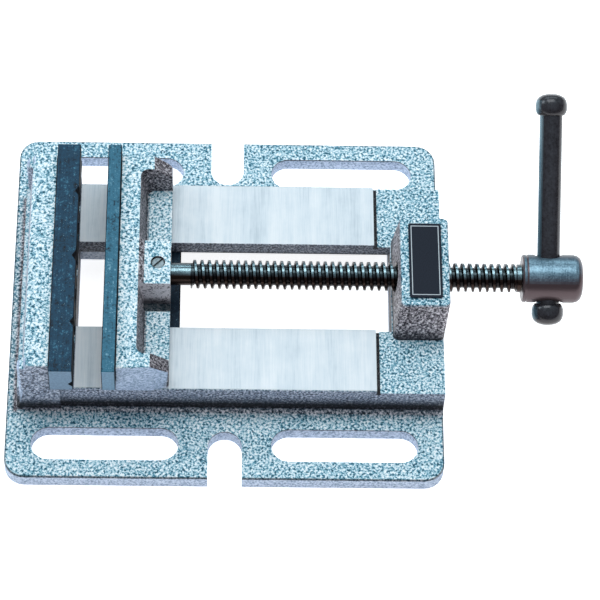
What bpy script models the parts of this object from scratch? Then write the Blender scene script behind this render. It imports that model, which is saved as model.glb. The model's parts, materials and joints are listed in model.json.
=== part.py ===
"""Drill-press vise, 110 mm jaws, Tr12 x 3 lead screw.

Frame: origin on the base's underside, on the centre plane below the fixed jaw. +X runs along
the lead screw towards the handle, +Y to the back, +Z up. Metres; sizes are written as n * MM.
"""

import math

import bmesh
import bpy
from mathutils import Matrix, Vector

MM = 0.001
GAP = 0.3 * MM  # between pieces that touch

# Base casting
BASE_LEFT = -15 * MM
BASE_LENGTH = 180 * MM
BASE_WIDTH = 165 * MM
BASE_CORNER = 8.5 * MM
FLANGE = 7 * MM
SLOT_LENGTH = 60.5 * MM
SLOT_WIDTH = 15 * MM
SLOT_SPREAD = 49.2 * MM  # slot centre from the middle of the base, along X
SLOT_OFFSET = 66.8 * MM  # slot centre from the centre plane
NOTCH_WIDTH = 14 * MM
NOTCH_DEPTH = 21.8 * MM
RAIL_TOP = 23 * MM
RAIL_THICK = 7.5 * MM
RAIL_OUTER = 50 * MM
RAIL_INNER = 20.7 * MM
WALL = 8 * MM
FOOT_ROUND = 3 * MM
EDGE_ROUND = 0.7 * MM
RAIL_END = 136.9 * MM
RELIEF_WIDTH = 1.4 * MM
PAD_DROP = 1.5 * MM  # the painted ends of the rails are lower than the ground tops
GUSSET_INNER = 26.3 * MM
GUSSET_END = 35 * MM

# Nut housing
HOUSING_LEFT = 143.7 * MM
HOUSING_TOP = 44 * MM
HOUSING_TOP_HALF = 21.3 * MM
HOUSING_FOOT_HALF = 25.1 * MM
HOUSING_LEAN = 2.6 * MM  # the inner face leans back by this much from foot to top
HOUSING_OVERHANG = 1.5 * MM  # the outer face leans out past the base's end

# Fixed jaw and the plates
JAW_WIDTH = 110 * MM
PLATE_HEIGHT = 15 * MM
LEDGE = 30 * MM  # height of the ledges that the plates stand on
FIXED_FACE = 13.3 * MM
FIXED_PLATE_THICK = 9.6 * MM
JAW_TOP = 42.6 * MM
JAW_HALF = 51.3 * MM
JAW_BACK_TOP = -6.4 * MM
JAW_BACK_FOOT = -11.6 * MM
BUTTRESS_BACK = -9.4 * MM
BUTTRESS_TOP = 40.5 * MM
BUTTRESS_WIDTH = 5.4 * MM
BUTTRESS_ROUND = 2.2 * MM
JAW_EDGE = 0.8 * MM  # chamfers and rounds on the fixed jaw
LEDGE_BACK = 7.5 * MM  # how far the fixed jaw's foot reaches under its plate
VEE_SPACING = 31.6 * MM

# Moving jaw, drawn where it stands: 11.6 mm open
MOVING_FACE = 24.9 * MM
MOVING_PLATE_THICK = 5.6 * MM
CARRIAGE_FRONT = MOVING_FACE + MOVING_PLATE_THICK + GAP
CARRIAGE_BACK = 51.8 * MM
CARRIAGE_TOP_HALF = 52 * MM
CARRIAGE_FOOT_HALF = 50.9 * MM
CARRIAGE_BACK_TAPER = 1.7 * MM
RIB_TOP_BACK = 38.7 * MM
RIB_FOOT_BACK = 41.2 * MM
RAMP_START = 44.3 * MM
RAMP_DROP = 6 * MM
POCKET_FLOOR = 27.3 * MM
POCKET_OUTER = 44.8 * MM
BOSS_HALF = 10.4 * MM
BOSS_TOP = 40.7 * MM
GROOVE_OUTER = 15.7 * MM
GROOVE_DEPTH = 2.5 * MM
TONGUE_HALF = 20.4 * MM
KEEPER_LEFT = 30 * MM
KEEPER_RIGHT = 55.7 * MM
KEEPER_HALF = 25.5 * MM
KEEPER_THICK = 5.5 * MM

# Lead screw, hub and handle
SCREW_Z = 31.5 * MM
SCREW_DIAMETER = 12 * MM
SCREW_PITCH = 3 * MM
SCREW_ROOT = 8.5 * MM
NECK_RADIUS = 4.65 * MM
NOSE_END = 36 * MM
NOSE_GROOVE = 3.3 * MM
THREAD_START = 60.1 * MM
THREAD_END = 194.7 * MM
HUB_LEFT = 197.4 * MM
HUB_RIGHT = 222.7 * MM
HUB_RADIUS = 10 * MM
TENON_RADIUS = 4 * MM
TENON_END = 201.9 * MM
PIN_X = 199.7 * MM
PIN_RADIUS = 1.25 * MM
HANDLE_X = 208.4 * MM
HANDLE_TILT = math.radians(35)  # above the horizontal, towards the back
HANDLE_RADIUS = 4.75 * MM
HANDLE_LENGTH = 78 * MM  # between the caps
CAP_RADIUS = 6.6 * MM
CAP_LENGTH = 8.9 * MM
CAP_SOCKET = 1 * MM  # how far the bar's full diameter goes into a cap
SPIGOT_RADIUS = 3 * MM
SPIGOT_LENGTH = 5.5 * MM
SET_SCREW_X = 46.6 * MM
SET_SCREW_RADIUS = 2.7 * MM

# Fasteners
PLATE_SCREW_Y = 16 * MM
PLATE_SCREW_RADIUS = 2.5 * MM
PLATE_SCREW_HEAD = 4.6 * MM
PLATE_SCREW_REACH = 12 * MM
KEEPER_SCREW_X = 42 * MM
KEEPER_SCREW_Y = 12 * MM
KEEPER_SCREW_RADIUS = 3 * MM

BASE_RIGHT = BASE_LEFT + BASE_LENGTH
BASE_MIDDLE = BASE_LEFT + BASE_LENGTH / 2
PAD_TOP = RAIL_TOP - PAD_DROP
RAIL_BOTTOM = RAIL_TOP - RAIL_THICK
PLATE_BOTTOM = LEDGE + GAP
PLATE_MIDDLE = PLATE_BOTTOM + PLATE_HEIGHT / 2
CARRIAGE_BOTTOM = RAIL_TOP + GAP
KEEPER_TOP = RAIL_BOTTOM - GAP
KEEPER_BOTTOM = KEEPER_TOP - KEEPER_THICK
HANDLE_AXIS = Vector((0, math.cos(HANDLE_TILT), math.sin(HANDLE_TILT)))
HANDLE_CENTRE = Vector((HANDLE_X, 0, SCREW_Z))
FAR = 50 * MM  # how far a through cutter runs past the metal
TINY = 0.01 * MM  # slack when an edge is picked by its place
SUNK = 1 * MM  # where shapes that stand on the flange begin, so that they overlap it


# --- scene, materials and small helpers ------------------------------------------------------


def clear_scene():
    for obj in list(bpy.data.objects):
        bpy.data.objects.remove(obj, do_unlink=True)


def new_collection(name):
    collection = bpy.data.collections.new(name)
    bpy.context.scene.collection.children.link(collection)
    return collection


def new_material(name, colour, roughness, metallic):
    material = bpy.data.materials.new(name)
    material.use_nodes = True
    shader = material.node_tree.nodes["Principled BSDF"]
    shader.inputs["Base Color"].default_value = (*colour, 1)
    shader.inputs["Roughness"].default_value = roughness
    shader.inputs["Metallic"].default_value = metallic
    return material


def new_object(name, bm, collection):
    bmesh.ops.recalc_face_normals(bm, faces=bm.faces)
    mesh = bpy.data.meshes.new(name)
    bm.to_mesh(mesh)
    bm.free()
    obj = bpy.data.objects.new(name, mesh)
    collection.objects.link(obj)
    return obj


def part(name, bm, material, smooth_angle=None):
    """A visible piece of the vise, with its own material."""
    obj = new_object(name, bm, VISE)
    obj.data.materials.append(material)
    if smooth_angle is not None:
        obj.data.shade_smooth()
        obj.data.set_sharp_from_angle(angle=math.radians(smooth_angle))
    return obj


def tool(name, bm):
    """A shape that only cuts or joins another."""
    obj = new_object(name, bm, CUTTERS)
    obj.hide_render = True
    obj.display_type = "WIRE"
    return obj


def boolean(obj, bm, operation):
    label = f"{obj.name}_{operation.lower()}_{len(obj.modifiers)}"
    modifier = obj.modifiers.new(label, "BOOLEAN")
    modifier.operation = operation
    modifier.solver = "EXACT"
    modifier.object = tool(label, bm)


def cut(obj, *shapes):
    for shape in shapes:
        boolean(obj, shape, "DIFFERENCE")


def join(obj, *shapes):
    for shape in shapes:
        boolean(obj, shape, "UNION")


# --- shapes ----------------------------------------------------------------------------------


def block(x, y, z):
    """A box between the two limits given along each axis."""
    bm = bmesh.new()
    bmesh.ops.create_cube(bm, size=1)
    for vert in bm.verts:
        for axis, (low, high) in enumerate((x, y, z)):
            vert.co[axis] = high if vert.co[axis] > 0 else low
    return bm


def bevelled(bm, width, segments, wanted):
    """Rounds the edges for which wanted(middle, direction) is true."""
    chosen = []
    for edge in bm.edges:
        start, end = (vert.co for vert in edge.verts)
        if wanted((start + end) / 2, (end - start).normalized()):
            chosen.append(edge)
    bmesh.ops.bevel(
        bm, geom=chosen, offset=width, segments=segments, profile=0.5, affect="EDGES"
    )
    bmesh.ops.remove_doubles(bm, verts=bm.verts, dist=0.001 * MM)
    return bm


def upright(middle, direction):
    return abs(direction.z) > 0.9


def rod(centre, direction, radius, start, end, sides=32, end_radius=None):
    """A round rod or cone along direction, between two distances from centre."""
    bm = bmesh.new()
    bmesh.ops.create_cone(
        bm,
        cap_ends=True,
        segments=sides,
        radius1=radius,
        radius2=radius if end_radius is None else end_radius,
        depth=end - start,
    )
    turn = Vector(direction).to_track_quat("Z", "Y").to_matrix().to_4x4()
    middle = Vector(centre) + Vector(direction).normalized() * (start + end) / 2
    bmesh.ops.transform(bm, matrix=Matrix.Translation(middle) @ turn, verts=bm.verts)
    return bm


def oblong(centre_x, centre_y, length, width, z):
    """A block with round ends, along X if it is longer that way."""
    half_x, half_y = length / 2, width / 2
    bm = block(
        (centre_x - half_x, centre_x + half_x), (centre_y - half_y, centre_y + half_y), z
    )
    return bevelled(bm, 0.999 * min(half_x, half_y), 8, upright)


def extruded(outline, plane, low, high):
    """An outline in the XZ or YZ plane, extruded along the third axis."""
    bm = bmesh.new()
    place = {"XZ": lambda a, b: (a, low, b), "YZ": lambda a, b: (low, a, b)}[plane]
    shift = {"XZ": (0, high - low, 0), "YZ": (high - low, 0, 0)}[plane]
    face = bm.faces.new([bm.verts.new(place(a, b)) for a, b in outline])
    grown = bmesh.ops.extrude_face_region(bm, geom=[face])["geom"]
    moved = [item for item in grown if isinstance(item, bmesh.types.BMVert)]
    bmesh.ops.translate(bm, vec=shift, verts=moved)
    return bm


def cove(x, wall, side, radius, steps=5):
    """The concave round where an upright wall at y = wall * side meets the flange."""
    inside, low = wall - SUNK, FLANGE - SUNK
    outline = [(inside * side, low), (inside * side, FLANGE + radius)]
    for step in range(steps + 1):
        angle = math.pi / 2 * step / steps
        outward = radius * (1 - math.cos(angle))
        outline.append(((wall + outward) * side, FLANGE + radius * (1 - math.sin(angle))))
    outline.append(((wall + radius) * side, low))
    return extruded(outline, "YZ", *x)


def lathe(profile, sides, offset=0.0):
    """A closed turned solid about Z with flat ends, from (radius, height) pairs."""
    bm = bmesh.new()
    rings = []
    for radius, height in profile:
        angles = (2 * math.pi * (step + offset) / sides for step in range(sides))
        rings.append(
            [bm.verts.new((radius * math.cos(a), radius * math.sin(a), height)) for a in angles]
        )
    for first, second in zip(rings, rings[1:]):
        for step in range(sides):
            after = (step + 1) % sides
            bm.faces.new((first[step], first[after], second[after], second[step]))
    bm.faces.new(rings[0])
    bm.faces.new(rings[-1])
    return bm


def along(bm, centre, direction):
    """Turns a lathed solid's axis to direction and moves its origin to centre."""
    turn = Vector(direction).to_track_quat("Z", "Y").to_matrix().to_4x4()
    bmesh.ops.transform(bm, matrix=Matrix.Translation(Vector(centre)) @ turn, verts=bm.verts)
    return bm


def turned(name, profile, centre, direction, material, sides=48):
    """A turned piece whose profile is measured from centre along direction."""
    bm = along(lathe(profile, sides), centre, direction)
    return part(name, bm, material, smooth_angle=35)


# --- base casting ----------------------------------------------------------------------------


def flange():
    half = BASE_WIDTH / 2
    bm = block((BASE_LEFT, BASE_RIGHT), (-half, half), (0, FLANGE))
    bevelled(bm, BASE_CORNER, 6, upright)
    return bevelled(
        bm, EDGE_ROUND, 2, lambda middle, direction: middle.z > FLANGE - TINY
    )


def rail_block():
    """Both rails, their side walls and the ends, before the hollows are cut."""
    left = BUTTRESS_BACK - 0.6 * MM
    bm = block((left, BASE_RIGHT), (-RAIL_OUTER, RAIL_OUTER), (SUNK, RAIL_TOP))
    return bevelled(
        bm, EDGE_ROUND, 2, lambda middle, direction: abs(direction.x) > 0.9 and middle.z > FLANGE
    )


def fixed_jaw():
    """The fixed jaw's section, whose back slopes out towards its foot."""
    seat = FIXED_FACE - FIXED_PLATE_THICK - GAP
    outline = [
        (LEDGE_BACK, SUNK),
        (LEDGE_BACK, LEDGE),
        (seat, LEDGE),
        (seat, JAW_TOP),
        (JAW_BACK_TOP + JAW_EDGE, JAW_TOP),
        (JAW_BACK_TOP, JAW_TOP - JAW_EDGE),
        (JAW_BACK_TOP - 2.4 * MM, 18 * MM),
        (JAW_BACK_TOP - 3.1 * MM, 12 * MM),
        (JAW_BACK_TOP - 3.9 * MM, 9.5 * MM),
        (JAW_BACK_FOOT, FLANGE - 0.2 * MM),
        (JAW_BACK_FOOT, SUNK),
    ]
    bm = extruded(outline, "XZ", -JAW_HALF, JAW_HALF)
    return bevelled(
        bm,
        JAW_EDGE,
        2,
        lambda middle, direction: abs(middle.y) > JAW_HALF - TINY
        and middle.z > FLANGE
        and middle.x < seat - 0.1 * MM,
    )


def jaw_ledge():
    """The step in front of the fixed jaw on which its plate stands."""
    front = FIXED_FACE - 0.1 * MM
    return block((5 * MM, front), (-RAIL_OUTER, RAIL_OUTER), (10 * MM, LEDGE))


def buttress(side):
    """One of the upright ribs at the ends of the fixed jaw's back."""
    outer, inner = side * JAW_HALF, side * (JAW_HALF - BUTTRESS_WIDTH)
    bm = block(
        (BUTTRESS_BACK, -2 * MM), sorted((outer, inner)), (SUNK, BUTTRESS_TOP)
    )
    return bevelled(
        bm,
        BUTTRESS_ROUND,
        4,
        lambda middle, direction: middle.x < BUTTRESS_BACK + TINY and middle.z > FLANGE,
    )


def nut_housing():
    """The block that carries the screw's nut thread; it narrows towards its top."""
    bm = block(
        (HOUSING_LEFT, BASE_RIGHT), (-HOUSING_FOOT_HALF, HOUSING_FOOT_HALF), (PAD_TOP, HOUSING_TOP)
    )
    for vert in bm.verts:
        if vert.co.z > HOUSING_TOP - 1 * MM:
            vert.co.y = math.copysign(HOUSING_TOP_HALF, vert.co.y)
            vert.co.x += HOUSING_LEAN if vert.co.x < BASE_RIGHT - 1 * MM else HOUSING_OVERHANG
    bevelled(bm, 2 * MM, 4, lambda middle, direction: abs(direction.z) > 0.8)
    bevelled(bm, 0.9 * MM, 2, lambda middle, direction: middle.z > HOUSING_TOP - TINY)
    bottom = [vert for vert in bm.verts if vert.co.z < PAD_TOP + TINY]
    for vert in bottom:
        vert.co.z -= 3 * MM
    return bm


def slot_cutters():
    through = (-FAR, FAR)
    for side in (-1, 1):
        for end in (-1, 1):
            yield oblong(
                BASE_MIDDLE + end * SLOT_SPREAD,
                side * SLOT_OFFSET,
                SLOT_LENGTH,
                SLOT_WIDTH,
                through,
            )
        reach = BASE_WIDTH / 2 - NOTCH_DEPTH
        yield oblong(BASE_MIDDLE, side * (reach + FAR / 2), NOTCH_WIDTH, FAR, through)


def base_hollows():
    """The gap between the rails, the hollow below them and the lowered, painted rail ends."""
    left = FIXED_FACE - 0.5 * MM
    yield block((left, HOUSING_LEFT), (-RAIL_INNER, RAIL_INNER), (SUNK, LEDGE - 2 * MM))
    yield block((left, HOUSING_LEFT), (-GUSSET_INNER, GUSSET_INNER), (-FAR, RAIL_BOTTOM))
    hollow = RAIL_OUTER - WALL
    yield block((GUSSET_END, HOUSING_LEFT), (-hollow, hollow), (-FAR, RAIL_BOTTOM))
    across = (-FAR * 1.2, FAR * 1.2)
    yield block((RAIL_END, BASE_RIGHT + FAR), across, (PAD_TOP, FAR))
    yield block((RAIL_END, RAIL_END + RELIEF_WIDTH), across, (PAD_TOP - 1 * MM, FAR))


def base_casting(material):
    obj = part("base_casting", flange(), material, smooth_angle=35)
    join(obj, rail_block(), fixed_jaw(), jaw_ledge(), buttress(-1), buttress(1))
    for side in (-1, 1):
        join(obj, cove((BUTTRESS_BACK + 2 * MM, BASE_RIGHT), RAIL_OUTER, side, FOOT_ROUND))
    cut(obj, *base_hollows())
    join(obj, nut_housing())
    nut = (HOUSING_LEFT - FAR, 0, SCREW_Z)
    cut(obj, rod(nut, (1, 0, 0), SCREW_DIAMETER / 2 + 0.4 * MM, 0, 3 * FAR))
    cut(obj, *slot_cutters())
    for side in (-1, 1):
        hole = (0, side * PLATE_SCREW_Y, PLATE_MIDDLE)
        reach = FIXED_FACE - PLATE_SCREW_REACH - 1 * MM
        cut(obj, rod(hole, (1, 0, 0), PLATE_SCREW_RADIUS + GAP, reach, FAR, 16))
    return obj


# --- jaws ------------------------------------------------------------------------------------


def vee(face, depth, half, y=None, z=None):
    """A V-shaped cutter in a jaw face: upright at y, or level at z."""
    over = 1 * MM
    wide = half * (depth + over) / depth
    if y is not None:
        bm = bmesh.new()
        corners = ((face - depth, y), (face + over, y - wide), (face + over, y + wide))
        low = bm.faces.new([bm.verts.new((a, b, 0)) for a, b in corners])
        grown = bmesh.ops.extrude_face_region(bm, geom=[low])["geom"]
        moved = [item for item in grown if isinstance(item, bmesh.types.BMVert)]
        bmesh.ops.translate(bm, vec=(0, 0, 2 * FAR), verts=moved)
        return bm
    outline = [(face - depth, z), (face + over, z - wide), (face + over, z + wide)]
    return extruded(outline, "XZ", -2 * FAR, 2 * FAR)


def jaw_plate(name, x, material):
    half = JAW_WIDTH / 2
    bm = block(x, (-half, half), (PLATE_BOTTOM, PLATE_BOTTOM + PLATE_HEIGHT))
    return part(name, bevelled(bm, 0.3 * MM, 1, lambda middle, direction: True), material, 30)


def screw_seats(obj, face, into):
    """Countersunk holes for the two plate screws; into is +1 or -1 along X."""
    for side in (-1, 1):
        centre = (face, side * PLATE_SCREW_Y, PLATE_MIDDLE)
        bore = PLATE_SCREW_RADIUS + GAP
        mouth = PLATE_SCREW_HEAD + GAP
        cut(obj, rod(centre, (into, 0, 0), bore, -1 * MM, 20 * MM, 24))
        cut(obj, rod(centre, (into, 0, 0), mouth, -1 * MM, 0.6 * MM, 24))
        cone = mouth - bore
        cut(obj, rod(centre, (into, 0, 0), mouth, 0.5 * MM, 0.5 * MM + cone, 24, bore))


def plate_screw(name, face, into, side, material):
    """A countersunk socket screw whose head is just below the plate's face."""
    head, body = PLATE_SCREW_HEAD, PLATE_SCREW_RADIUS
    sunk = 0.6 * MM + GAP / 2
    profile = [
        (head, sunk),
        (body, sunk + head - body),
        (body, PLATE_SCREW_REACH - 0.6 * MM),
        (body - 0.6 * MM, PLATE_SCREW_REACH),
    ]
    centre = (face, side * PLATE_SCREW_Y, PLATE_MIDDLE)
    obj = turned(name, profile, centre, (into, 0, 0), material, 24)
    cut(obj, rod(centre, (into, 0, 0), 1.75 * MM, -1 * MM, sunk + 2.2 * MM, 6))
    return obj


def fixed_jaw_plate(material):
    obj = jaw_plate("fixed_jaw_plate", (FIXED_FACE - FIXED_PLATE_THICK, FIXED_FACE), material)
    cut(obj, vee(FIXED_FACE, 2 * MM, 3.1 * MM, y=0))
    for side in (-1, 1):
        cut(obj, vee(FIXED_FACE, 1.7 * MM, 2.6 * MM, y=side * VEE_SPACING))
    cut(obj, vee(FIXED_FACE, 2 * MM, 2.25 * MM, z=PLATE_BOTTOM + 4.8 * MM))
    screw_seats(obj, FIXED_FACE, -1)
    return obj


def moving_jaw_plate(material):
    back = MOVING_FACE + MOVING_PLATE_THICK
    obj = jaw_plate("moving_jaw_plate", (MOVING_FACE, back), material)
    screw_seats(obj, MOVING_FACE, 1)
    return obj


def carriage_block():
    """The moving jaw's outside: drafted ends, and rear corners that taper inwards."""
    bm = block(
        (CARRIAGE_FRONT, CARRIAGE_BACK),
        (-CARRIAGE_TOP_HALF, CARRIAGE_TOP_HALF),
        (CARRIAGE_BOTTOM, JAW_TOP),
    )
    geom = list(bm.verts) + list(bm.edges) + list(bm.faces)
    bmesh.ops.bisect_plane(bm, geom=geom, plane_co=(RAMP_START, 0, 0), plane_no=(1, 0, 0))
    draft = CARRIAGE_TOP_HALF - CARRIAGE_FOOT_HALF
    for vert in bm.verts:
        inward = draft if vert.co.z < POCKET_FLOOR else 0
        inward += CARRIAGE_BACK_TAPER if vert.co.x > RAMP_START + 1 * MM else 0
        vert.co.y -= math.copysign(inward, vert.co.y)
    return bevelled(
        bm,
        0.9 * MM,
        2,
        lambda middle, direction: middle.x > CARRIAGE_FRONT + 0.1 * MM
        and middle.z > CARRIAGE_BOTTOM + 0.1 * MM
        and abs(middle.x - RAMP_START) > 0.1 * MM,
    )


def carriage_pocket(side):
    inner, outer = side * BOSS_HALF, side * POCKET_OUTER
    top = JAW_TOP + 5 * MM
    bm = block(
        (RIB_FOOT_BACK, CARRIAGE_BACK + 5 * MM), sorted((inner, outer)), (POCKET_FLOOR, top)
    )
    slope = (RIB_FOOT_BACK - RIB_TOP_BACK) / (JAW_TOP - POCKET_FLOOR)
    for vert in bm.verts:
        if vert.co.z > POCKET_FLOOR + TINY and vert.co.x < CARRIAGE_BACK:
            vert.co.x -= slope * (top - POCKET_FLOOR)
        if vert.co.z < top - TINY and abs(vert.co.y) > GROOVE_OUTER:
            vert.co.y -= side * 1 * MM
    bevelled(
        bm,
        3.2 * MM,
        4,
        lambda middle, direction: middle.x < CARRIAGE_BACK
        and abs(direction.z) > 0.5
        and abs(middle.y) > GROOVE_OUTER,
    )
    return bevelled(
        bm,
        1 * MM,
        2,
        lambda middle, direction: middle.z < POCKET_FLOOR + TINY
        and middle.x < CARRIAGE_BACK + 4 * MM,
    )


def carriage_ramps():
    """Above the sloping rear corners and above the centre boss."""
    run = CARRIAGE_BACK - RAMP_START
    over = 5 * MM
    slope = RAMP_DROP / run
    ramp = [
        (RAMP_START - over, JAW_TOP + over * slope),
        (CARRIAGE_BACK + over, JAW_TOP - RAMP_DROP - over * slope),
        (CARRIAGE_BACK + over, FAR * 2),
        (RAMP_START - over, FAR * 2),
    ]
    for side in (-1, 1):
        yield extruded(ramp, "XZ", *sorted((side * 30 * MM, side * FAR * 1.2)))
    drop = JAW_TOP - BOSS_TOP
    boss = [
        (RIB_TOP_BACK - over, JAW_TOP + over),
        (RIB_TOP_BACK, JAW_TOP),
        (RIB_TOP_BACK + drop * 1.2, BOSS_TOP),
        (CARRIAGE_BACK + over, BOSS_TOP),
        (CARRIAGE_BACK + over, JAW_TOP + over),
    ]
    yield extruded(boss, "XZ", -BOSS_HALF - 1 * MM, BOSS_HALF + 1 * MM)


def moving_jaw(material):
    obj = part("moving_jaw", carriage_block(), material, smooth_angle=35)
    foot = (CARRIAGE_BOTTOM, LEDGE)
    ledge = (MOVING_FACE + 0.4 * MM, CARRIAGE_FRONT + 2 * MM)
    join(obj, block(ledge, (-CARRIAGE_FOOT_HALF + 0.4 * MM, CARRIAGE_FOOT_HALF - 0.4 * MM), foot))
    tongue = (33 * MM, 51 * MM)
    deep = (RAIL_BOTTOM, CARRIAGE_BOTTOM + 1 * MM)
    join(obj, block(tongue, (-TONGUE_HALF, TONGUE_HALF), deep))
    cut(obj, *carriage_ramps())
    cut(obj, carriage_pocket(-1), carriage_pocket(1))
    for side in (-1, 1):
        across = sorted((side * BOSS_HALF, side * GROOVE_OUTER))
        deep = (POCKET_FLOOR - GROOVE_DEPTH, POCKET_FLOOR + 2 * MM)
        cut(obj, block((RIB_FOOT_BACK - 0.6 * MM, CARRIAGE_BACK + 1 * MM), across, deep))
        screw = (CARRIAGE_FRONT, side * PLATE_SCREW_Y, PLATE_MIDDLE)
        reach = PLATE_SCREW_REACH - MOVING_PLATE_THICK + 0.5 * MM
        cut(obj, rod(screw, (1, 0, 0), PLATE_SCREW_RADIUS + GAP, -1 * MM, reach, 16))
        below = (KEEPER_SCREW_X, side * KEEPER_SCREW_Y, 0)
        cut(obj, rod(below, (0, 0, 1), KEEPER_SCREW_RADIUS + GAP, 0, 24.5 * MM, 20))
    nose = (0, 0, SCREW_Z)
    cut(obj, rod(nose, (1, 0, 0), NECK_RADIUS + GAP, NOSE_END - GAP, CARRIAGE_BACK + FAR, 32))
    above = (SET_SCREW_X, 0, 0)
    cut(obj, rod(above, (0, 0, 1), SET_SCREW_RADIUS + GAP, SCREW_Z, FAR, 24))
    return obj


def keeper_plate(material):
    bm = block((KEEPER_LEFT, KEEPER_RIGHT), (-KEEPER_HALF, KEEPER_HALF), (KEEPER_BOTTOM, KEEPER_TOP))
    bevelled(bm, 1.5 * MM, 3, upright)
    bevelled(bm, 0.4 * MM, 1, lambda middle, direction: not upright(middle, direction))
    obj = part("keeper_plate", bm, material, 30)
    for side in (-1, 1):
        below = (KEEPER_SCREW_X, side * KEEPER_SCREW_Y, 0)
        cut(obj, rod(below, (0, 0, 1), KEEPER_SCREW_RADIUS + GAP, 0, FAR, 20))
    return obj


def keeper_fasteners(side, label, steel, black):
    """A hexagon screw and its washer, put in from below."""
    below = (KEEPER_SCREW_X, side * KEEPER_SCREW_Y, 0)
    washer_top = KEEPER_BOTTOM - GAP
    washer_bottom = washer_top - 1 * MM
    washer = rod(below, (0, 0, 1), 5.8 * MM, washer_bottom, washer_top, 32)
    obj = part(f"keeper_washer_{label}", washer, steel, 30)
    cut(obj, rod(below, (0, 0, 1), KEEPER_SCREW_RADIUS + GAP, 0, FAR, 20))
    head_top = washer_bottom - GAP
    head = rod(below, (0, 0, 1), 5.5 * MM, head_top - 4 * MM, head_top, 6)
    obj = part(f"keeper_screw_{label}", head, black, 30)
    join(obj, rod(below, (0, 0, 1), KEEPER_SCREW_RADIUS, head_top - 1 * MM, 23.5 * MM, 20))


# --- lead screw, hub and handle ----------------------------------------------------------------


def thread_body(sides=14):
    """A right-hand trapezoidal thread: one pitch of its profile, wound along a helix."""
    crest, root = SCREW_DIAMETER / 2, SCREW_ROOT / 2
    flat = SCREW_PITCH * 0.34
    flank = (SCREW_PITCH - 2 * flat) / 2
    profile = ((0, crest), (flat, crest), (flat + flank, root), (2 * flat + flank, root))
    turns = math.ceil((THREAD_END - THREAD_START) / SCREW_PITCH) + 2
    start = THREAD_START - 1.47 * SCREW_PITCH
    bm = bmesh.new()
    rows = []
    for step in range(turns * sides + 1):
        angle = 2 * math.pi * step / sides
        along = start + SCREW_PITCH * step / sides
        rows.append(
            [
                bm.verts.new(
                    (along + offset, -radius * math.sin(angle), SCREW_Z + radius * math.cos(angle))
                )
                for offset, radius in profile
            ]
        )
    for step, row in enumerate(rows[:-1]):
        after = rows[step + 1]
        for first in range(3):
            bm.faces.new((row[first], row[first + 1], after[first + 1], after[first]))
        if step + sides + 1 < len(rows):
            over, next_over = rows[step + sides], rows[step + sides + 1]
            bm.faces.new((row[3], over[0], next_over[0], after[3]))
    for place, outward in ((THREAD_START, -1), (THREAD_END, 1)):
        geom = list(bm.verts) + list(bm.edges) + list(bm.faces)
        bmesh.ops.bisect_plane(
            bm, geom=geom, plane_co=(place, 0, 0), plane_no=(outward, 0, 0), clear_outer=True
        )
        rim = [edge for edge in bm.edges if edge.is_boundary and on_plane(edge, place)]
        bmesh.ops.contextual_create(bm, geom=rim)
    return bm


def on_plane(edge, place):
    return all(abs(vert.co.x - place) < 0.001 * MM for vert in edge.verts)


def screw_core():
    """Everything on the lead screw that is round: nose, groove, neck, shank and tenon."""
    inside = NECK_RADIUS - 1.6 * MM
    shank = SCREW_DIAMETER / 2 - 0.1 * MM
    profile = [
        (NECK_RADIUS - 1 * MM, NOSE_END),
        (NECK_RADIUS, NOSE_END + 1 * MM),
        (NECK_RADIUS, SET_SCREW_X - 1.8 * MM),
        (NOSE_GROOVE, SET_SCREW_X - 1.8 * MM),
        (NOSE_GROOVE, SET_SCREW_X + 1.8 * MM),
        (NECK_RADIUS, SET_SCREW_X + 1.8 * MM),
        (NECK_RADIUS, THREAD_START + 1.7 * MM),
        (inside, THREAD_START + 2.2 * MM),
        (inside, THREAD_END - 2.2 * MM),
        (NECK_RADIUS, THREAD_END - 1.7 * MM),
        (NECK_RADIUS, THREAD_END + 0.4 * MM),
        (shank, THREAD_END + 0.4 * MM),
        (shank, HUB_LEFT - GAP),
        (TENON_RADIUS, HUB_LEFT - GAP),
        (TENON_RADIUS, TENON_END),
    ]
    return along(lathe(profile, 28, offset=0.37), (0, 0, SCREW_Z), (1, 0, 0))


def lead_screw(material):
    obj = part("lead_screw", thread_body(), material, smooth_angle=40)
    join(obj, screw_core())
    cut(obj, rod((PIN_X, 0, SCREW_Z), (0, 1, 0), PIN_RADIUS + GAP, -FAR, FAR, 16))
    return obj


def screw_hub(material):
    length = HUB_RIGHT - HUB_LEFT
    profile = [
        (4 * MM, length),
        (HUB_RADIUS - 3 * MM, length - 0.4 * MM),
        (HUB_RADIUS - 1.4 * MM, length - 1.1 * MM),
        (HUB_RADIUS - 0.4 * MM, length - 2.4 * MM),
        (HUB_RADIUS, length - 4 * MM),
        (HUB_RADIUS, 2.3 * MM),
        (HUB_RADIUS - 0.5 * MM, 1.9 * MM),
        (HUB_RADIUS - 0.1 * MM, 1.5 * MM),
        (HUB_RADIUS - 0.1 * MM, 0.5 * MM),
        (HUB_RADIUS - 0.6 * MM, 0),
        (TENON_RADIUS + GAP, 0),
        (TENON_RADIUS + GAP, TENON_END - HUB_LEFT + GAP),
    ]
    obj = turned("screw_hub", profile, (HUB_LEFT, 0, SCREW_Z), (1, 0, 0), material, 56)
    bore = HANDLE_RADIUS + 0.35 * MM
    cut(obj, rod(HANDLE_CENTRE, HANDLE_AXIS, bore, -FAR, FAR, 32))
    for side in (-1, 1):
        narrow, wide = bore - 0.6 * MM, bore + 2.4 * MM
        cut(obj, rod(HANDLE_CENTRE, HANDLE_AXIS * side, narrow, 8 * MM, 11 * MM, 30, wide))
    cut(obj, rod((PIN_X, 0, SCREW_Z), (0, 1, 0), PIN_RADIUS + GAP, -6.1 * MM, FAR, 14))
    return obj


def hub_pin(material):
    bm = rod((PIN_X, 0, SCREW_Z), (0, 1, 0), PIN_RADIUS, -5.7 * MM, 9.6 * MM, 16)
    return part("hub_pin", bm, material, 30)


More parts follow.
